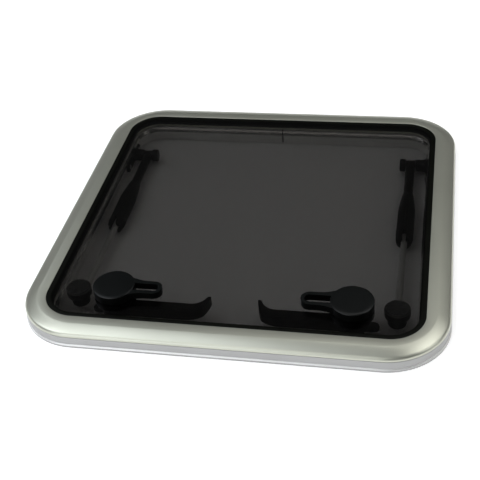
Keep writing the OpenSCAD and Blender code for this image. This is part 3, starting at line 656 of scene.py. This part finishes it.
# Small metal and plastic parts that keep their shape and get soft edges: the last number is the edge's width
softParts = [
    ("hinge_arm", "HingeArm", "lid", anodised, "anodised_aluminium", 0.45),
    ("hinge_lugs", "HingeLugs", "base", anodised, "anodised_aluminium", 0.45),
    ("latch_keeper", "Keeper", "base", darkNylon, "black_nylon", 0.6),
    ("latch_tongue", "Tongue", "handle", darkCast, "stainless_steel", 0.5),
    ("handle_nut", "Nut", "lid", darkNylon, "black_nylon", 0.5),
]


def makeSoftParts(parts):
    flat = math.radians(1)
    for node, name, body, finish, slot, width in parts:
        for side in sides:
            bm = bmesh.new()
            bm.from_mesh(nodes[node + "_" + side].data)
            bmesh.ops.remove_doubles(bm, verts=bm.verts, dist=weld)
            bmesh.ops.dissolve_limit(bm, angle_limit=flat, verts=bm.verts, edges=bm.edges)
            rider = side + "_handle" if body == "handle" else body
            piece = addPiece(side + name, bm, finish, rider)
            soften(piece, width)
            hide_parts(node + "_" + side)


# Outer handles: a round cap with a slotted arm, drawn with the arm towards +x
handle = {
    "x": 140, "y": -175.5, "low": 23.0, "top": 33.7, "radius": 25, "ease": 1.0, "foot": 0.4,
    "floor": 27.2, "bore": 18.3,
    "flat": 0.8,  # share of the cap's radius
    "round": 0.98,  # rounding of the arm's and the slot's ends, as a share of their half width
    "armLow": 24.4, "armTop": 32.9, "armHalf": 10.8, "reach": 58.6,
    "root": (17, 16.5),  # x and half width where the arm leaves the cap
    "neck": (30, 9),  # x and rounding where its sides turn straight
    "slot": (21, 54.4, 5.8),  # from, to, half width
    "soft": 0.7,
    "wallTilt": 0.1,  # a face that looks up less than this is a wall
}


def makeHandles(s):
    r, low, top, ease, foot = s["radius"], s["low"], s["top"], s["ease"], s["foot"]
    cap = [
        (0, s["floor"]), (s["bore"], s["floor"]), (s["bore"], low), (r - foot, low), (r, low + foot),
        *arcPoints((r - ease, top - ease), ease, 0, 90, 6), (r * s["flat"], top), (0, top),
    ]
    half, reach = s["armHalf"], s["reach"]
    rootX, rootHalf = s["root"]
    neckX, neckRound = s["neck"]
    endRound = half * s["round"]
    armOutline = [
        (rootX, rootHalf, 0), (neckX, half, neckRound), (reach, half, endRound),
        (reach, -half, endRound), (neckX, -half, neckRound), (rootX, -rootHalf, 0),
    ]
    first, last, slotHalf = s["slot"]
    slotRound = slotHalf * s["round"]
    slotOutline = [
        (first, slotHalf, 0), (last, slotHalf, slotRound), (last, -slotHalf, slotRound), (first, -slotHalf, 0),
    ]
    for side, sign in sides.items():
        arm = raisedShape(armOutline, s["armLow"], s["armTop"])
        slot = raisedShape(slotOutline, s["armLow"] - 2 * past, s["armTop"] + 2 * past)
        arm = combined(arm, slot, "DIFFERENCE")
        shape = combined(turnedShape(cap, (0, 0, 0), steps=96), arm, "UNION")
        placed(shape, s["x"] * sign, s["y"], -sign)
        piece = addPiece(side + "Handle", shape, blackNylon, side + "_handle")
        piece.data.materials.append(shadedWallNylon)
        for f in piece.data.polygons:
            f.material_index = int(f.normal.z < s["wallTilt"])  # painted shade: darker, duller walls under a glossier top
        soften(piece, s["soft"])
        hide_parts("outer_handle_" + side)


makeHandles(handle)
print("outer handles made")
makeScrews(smallScrew, leverScrew, baseRing["hinge"])
makeSoftParts(softParts)
print("screws and small parts made")

# Inner levers: a hub with a flat arm that ends in a claw
lever = {
    "low": -8.5, "top": 4, "hubTop": 6.4, "hub": 19, "chamfer": 1, "soft": 1.0,
    "outline": [
        (0, -13, 0), (96, -13, 11), (108, -3, 14), (112, 17.2, 1.2),
        (107.6, 17.2, 2), (101.5, 3, 11), (0, 3, 0),
    ],
}


def makeLevers(s):
    low, high, r, chamfer = s["low"], s["hubTop"], s["hub"], s["chamfer"]
    profile = [(0, low), (r, low), (r, high - chamfer), (r - chamfer, high), (0, high)]
    for side, sign in sides.items():
        arm = raisedShape(s["outline"], low, s["top"])
        shape = combined(turnedShape(profile, (0, 0, 0)), arm, "UNION")
        placed(shape, handle["x"] * sign, handle["y"], -sign)
        piece = addPiece(side + "Lever", shape, darkNylon, side + "_handle")
        soften(piece, s["soft"])
        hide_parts("inner_lever_" + side)


makeLevers(lever)
print("inner levers made")

# Stay brackets: a plate on the side wall with a boss for the pivot; profiles are (radius, x)
bracket = {
    "plate": (119.2, 181.2, -17.1, -5.6),  # front, rear, low, high
    "wall": 215.5, "thick": 4, "corner": 3, "soft": 0.7,
    "axis": (0, 152, -7),
    "boss": [
        (0, 206.7), (2.52, 206.7), (2.52, 196.7), (8.0, 196.7), (8.4, 197.1), (8.4, 206.5), (9.0, 209.5),
        (9.9, 211.5), (9.9, 213.0), (0, 213.0),
    ],
    "pin": [
        (0, 175.3), (6.16, 175.3), (7.9, 175.5), (8.55, 176.0), (8.8, 176.9), (8.8, 182.7), (8.2, 183.3),
        (2.5, 183.3), (2.5, 206.2), (2.1, 206.6), (0, 206.6),
    ],
}


def makeBrackets(s):
    front, rear, low, high = s["plate"]
    corners = [(low, front), (high, front), (high, rear), (low, rear)]
    for side, sign in sides.items():
        plate = raisedShape([(*c, s["corner"]) for c in corners], s["wall"] - s["thick"], s["wall"])
        # laid on its side: heights go across the hatch
        bmesh.ops.transform(plate, matrix=turned(90, "Y"), verts=plate.verts)
        bmesh.ops.scale(plate, verts=plate.verts, vec=(1, 1, -1))
        boss = turnedShape(s["boss"], s["axis"], steps=64, along="X")
        shape = placed(combined(plate, boss, "UNION"), 0, 0, sign)
        piece = addPiece(side + "Bracket", shape, darkNylon, "base")
        soften(piece, s["soft"])
        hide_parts("stay_bracket_" + side)
        pin = placed(turnedShape(s["pin"], s["axis"], steps=56, along="X"), 0, 0, sign)
        piece = addPiece(side + "PivotPin", pin, blackTube, "base")
        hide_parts("pivot_pin_" + side)


makeBrackets(bracket)
print("stay brackets and pivots made")

# Stay feet: domed knobs glued under the lens, with a ball below
foot = {
    "x": 190, "y": -166, "radius": 15, "low": 1.7, "top": 12.7, "ball": 9, "ballAt": 7.254, "round": 2,
    "rim": [(1.5, 0), (0.4, 0.5), (0, 1.6)],  # in from the edge, up from the underside
}


def makeFeet(s):
    r, low, top, ease = s["radius"], s["low"], s["top"], s["round"]
    neck = math.sqrt(s["ball"] ** 2 - (low - s["ballAt"]) ** 2)
    start = math.degrees(math.atan2(low - s["ballAt"], neck))
    profile = arcPoints((0, s["ballAt"]), s["ball"], -90, start, 14)
    profile += [(r - back, low + up) for back, up in s["rim"]]
    profile += arcPoints((r - ease, top - ease), ease, 0, 90, 8)
    profile += [(0, top)]
    for side, sign in sides.items():
        shape = turnedShape(profile, (s["x"] * sign, s["y"], 0), steps=80)
        piece = addPiece(side + "Foot", shape, litFootTopNylon, "lid")
        piece.data.materials.append(darkNylon)
        for f in piece.data.polygons:
            f.material_index = int(f.center.z < (top - ease) * mm)  # painted light: only the top takes the lighter nylon, the sides stay dark
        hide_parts("stay_foot_" + side)


makeFeet(foot)

# Cups on the ends of the rods, under the feet's balls
rodEnd = {"radius": 10.8, "low": -11.5, "top": -0.8, "cup": 9.05, "lowRound": 2.5, "topRound": 1.6}


def makeRodEnds(s, above):
    r, low, top = s["radius"], s["low"], s["top"]
    drop = math.degrees(math.acos((above["ballAt"] - top) / s["cup"]))
    profile = [(0, low)]
    profile += arcPoints((r - s["lowRound"], low + s["lowRound"]), s["lowRound"], -90, 0, 6)
    profile += arcPoints((r - s["topRound"], top - s["topRound"]), s["topRound"], 0, 90, 6)
    profile += arcPoints((0, above["ballAt"]), s["cup"], drop - 90, -90, 8)
    for side, sign in sides.items():
        shape = turnedShape(profile, (above["x"] * sign, above["y"], 0), steps=64)
        piece = addPiece(side + "RodEnd", shape, darkNylon, side + "_stay_rod")
        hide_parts("stay_rod_end_" + side)


makeRodEnds(rodEnd, foot)
print("stay feet and rod ends made")

# Stay grips: a twist collar with finger flutes and a slotted nose
grip = {
    "x": 190, "z": -7, "nose": -23,
    # (radius, y) from the nose to the neck and back through the bore
    "profile": [
        (4.4, -23), (8.9, -23), (9.5, -22.4), (10.7, -15.6), (11, -14.6), (11, -11), (11, 39), (11, 45),
        (10.5, 49), (7.65, 76.5), (7.25, 77.6), (6.85, 78), (6.6, 78), (6.6, 20), (4.4, 20), (4.4, -23),
    ],
    "fluted": (-11, 39, 10),  # from y, to y, outside this radius
    "flutes": 20, "stripsEach": 4, "fluteEdge": 0.12, "fluteDepth": 0.55,
    "slotWidth": 5, "slotLength": 14, "slotReach": 14,
}


def makeGrips(s):
    steps = s["flutes"] * s["stripsEach"]
    first, last, least = s["fluted"]
    half, reach = s["slotWidth"] / 2, s["slotReach"]
    front, rear = s["nose"] - 2 * past, s["nose"] + s["slotLength"]
    for side, sign in sides.items():
        x = s["x"] * sign
        shape = turnedShape(s["profile"], (x, 0, s["z"]), steps=steps, along="Y")
        # one strip in four of the straight part sinks in as a flute
        strips = []
        for f in shape.faces:
            place = f.calc_center_median() / mm
            out = Vector((place.x - x, place.z - s["z"]))
            strip = int(math.degrees(math.atan2(out.y, out.x)) % 360 * steps / 360)
            if first < place.y < last and out.length > least and strip % s["stripsEach"] == 0:
                strips.append(f)
        bmesh.ops.inset_individual(
            shape, faces=strips, thickness=s["fluteEdge"] * mm, depth=-s["fluteDepth"] * mm)
        for wide, tall in ((half, reach), (reach, half)):
            cutter = raisedShape(
                [(-wide, front, 0), (wide, front, 0), (wide, rear, 0), (-wide, rear, 0)],
                s["z"] - tall, s["z"] + tall)
            bmesh.ops.translate(cutter, verts=cutter.verts, vec=(x * mm, 0, 0))
            shape = combined(shape, cutter, "DIFFERENCE")
        piece = addPiece(side + "Grip", shape, darkNylon, side + "_stay_grip")
        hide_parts("stay_grip_" + side)


makeGrips(grip)
print("stay grips made")

# Stage, in metres: a pale floor at deck level with a hole under the hatch, and a second floor just below it
stage = {
    "size": 40, "hole": 0.226, "drop": -0.0003, "wellSize": 0.3, "well": -0.0194,
    "pale": (0.91, 0.92), "near": 0.52, "fade": (0.5, 1.6),
    "wellDark": (0.86, 0.86, 0.85), "wellLight": (0.88, 0.88, 0.87),
}
floorPaint = {
    "rough": (0.85, 0.9), "metal": 0.0, "shine": 0.1, "patches": 2, "grain": 60, "bump": 0.02, "depth": 0.0001,
}


def makePaint(s):
    dark, light = s["pale"]
    paint = makeFinish({**floorPaint, "name": "paleFloor", "dark": (dark,) * 3, "light": (light,) * 3})
    tree = paint.node_tree
    rays = tree.nodes.new("ShaderNodeLightPath")
    seen = rays.outputs["Is Camera Ray"]
    for kind in ("Is Glossy Ray", "Is Transmission Ray"):
        seen = joined(tree, "MAXIMUM", seen, rays.outputs[kind])
    # white far off, a little lifted near the hatch so that its shadow stays
    coords = tree.nodes.new("ShaderNodeTexCoord")
    reach = distanceTo(tree, coords.outputs["Object"], (0, 0, 0))
    glow = joined(tree, "MULTIPLY", seen, ranged(tree, reach, s["fade"], (s["near"], 1)))
    shader = tree.nodes["Principled BSDF"]
    shader.inputs["Emission Color"].default_value = (1, 1, 1, 1)
    tree.links.new(glow, shader.inputs["Emission Strength"])
    return paint


def flatSheet(size, z):
    bm = bmesh.new()
    bmesh.ops.create_grid(bm, x_segments=1, y_segments=1, size=size, matrix=Matrix.Translation((0, 0, z)))
    return bm


def addStage(name, bm, paint):
    floor = linked(name, meshOf(name, bm))
    floor.data.materials.append(paint)


def makeStage(s):
    bm = flatSheet(s["size"], s["drop"])
    rim = bmesh.ops.inset_region(
        bm, faces=bm.faces, thickness=s["size"] - s["hole"], use_boundary=True, use_even_offset=True)["faces"]
    bmesh.ops.delete(bm, geom=[f for f in bm.faces if f not in rim], context="FACES")
    addStage("floor", bm, makePaint(s))
    wellPaint = makeFinish({**floorPaint, "name": "wellPaint", "dark": s["wellDark"], "light": s["wellLight"]})
    addStage("wellFloor", flatSheet(s["wellSize"], s["well"]), wellPaint)


# Soft boxes, in metres. No two of the top ones share a height: a ray that meets one would miss the other
cool, warm, plain = (0.94, 0.98, 1.05), (1, 0.99, 0.98), (1, 1, 1)
lampFade = (0.28, 0.5)  # full up to here, dark from here, as shares of the width
lamps = [
    {"name": "topLeft", "place": (-1.1, -0.2, 2.3), "size": (2.0, 2.6), "glow": 2.2, "tone": cool},
    {"name": "topRight", "place": (1.35, 0.5, 2.26), "size": (1.4, 1.5), "glow": 3.5, "tone": warm},
    {"name": "topRear", "place": (0.8, 1.5, 2.34), "size": (3.6, 1.4), "glow": 1.6, "tone": warm},
    {"name": "rearLeft", "place": (-1.7, 1.5, 2.42), "size": (1.6, 1.4), "glow": 2.1, "tone": cool},
    {"name": "topFront", "place": (-0.6, -2.2, 2.38), "size": (3.4, 2.8), "glow": 1.35, "tone": plain},
    {
        "name": "leftKey", "place": (-1.8, -0.4, 1.7), "aim": (0, 0, 0),
        "size": (1.9, 1.9), "glow": 2.6, "tone": cool,
    },
    {
        "name": "frontCard", "place": (-1.2, -2.7, 0.95), "aim": (0, 0, 0.05),
        "size": (3.2, 3.0), "glow": 2.0, "tone": (0.95, 0.98, 1.04),
        "throughLens": False,  # it would show in the lens of a raised lid
    },
    {
        "name": "rightKey", "place": (2.2, -0.3, 1.5), "aim": (0, 0, 0),
        "size": (1.7, 1.9), "glow": 1.95, "tone": plain,
    },
]


# A soft box that fades out towards its rim, and shines straight down where it has no aim
def softBox(s):
    lamp = bpy.data.lights.new(s["name"], "AREA")
    lamp.shape = "RECTANGLE"
    lamp.size, lamp.size_y = s["size"]
    lamp.energy = s["glow"] * lamp.size * lamp.size_y * math.pi
    lamp.color = s["tone"]
    lamp.use_nodes = True
    tree = lamp.node_tree
    sheet = tree.nodes.new("ShaderNodeNewGeometry")
    reach = distanceTo(tree, sheet.outputs["Parametric"], (0.5, 0.5, 0))
    fade = ranged(tree, reach, lampFade, (1, 0), "SMOOTHSTEP")
    tree.links.new(fade, tree.nodes["Emission"].inputs["Strength"])
    box = linked(s["name"], lamp)
    place = Vector(s["place"])
    aim = Vector(s.get("aim", (place.x, place.y, 0)))
    box.location = place
    box.rotation_euler = (aim - place).to_track_quat("-Z", "Y").to_euler()
    box.visible_transmission = s.get("throughLens", True)


studio = {"dim": 0.035, "haze": 0.1}


# A dim studio, white where it is looked at and along the horizon
def makeWorld(s):
    world = bpy.data.worlds.new("studio")
    world.use_nodes = True
    tree = world.node_tree
    rays = tree.nodes.new("ShaderNodeLightPath")
    coords = tree.nodes.new("ShaderNodeTexCoord")
    parts = tree.nodes.new("ShaderNodeSeparateXYZ")
    tree.links.new(coords.outputs["Generated"], parts.inputs[0])
    low = ranged(tree, parts.outputs["Z"], (0, s["haze"]), (1, 0))
    level = joined(tree, "MAXIMUM", rays.outputs["Is Glossy Ray"], rays.outputs["Is Transmission Ray"])
    level = joined(tree, "MULTIPLY", level, low)
    level = joined(tree, "MAXIMUM", rays.outputs["Is Camera Ray"], level)
    level = joined(tree, "MAXIMUM", level, s["dim"])
    sky = tree.nodes["Background"]
    sky.inputs["Color"].default_value = (1, 1, 1, 1)
    tree.links.new(level, sky.inputs["Strength"])
    bpy.context.scene.world = world


makeStage(stage)
for lamp in lamps:
    softBox(lamp)
makeWorld(studio)
bpy.context.scene.view_settings.view_transform = "Standard"
print("stage lit")
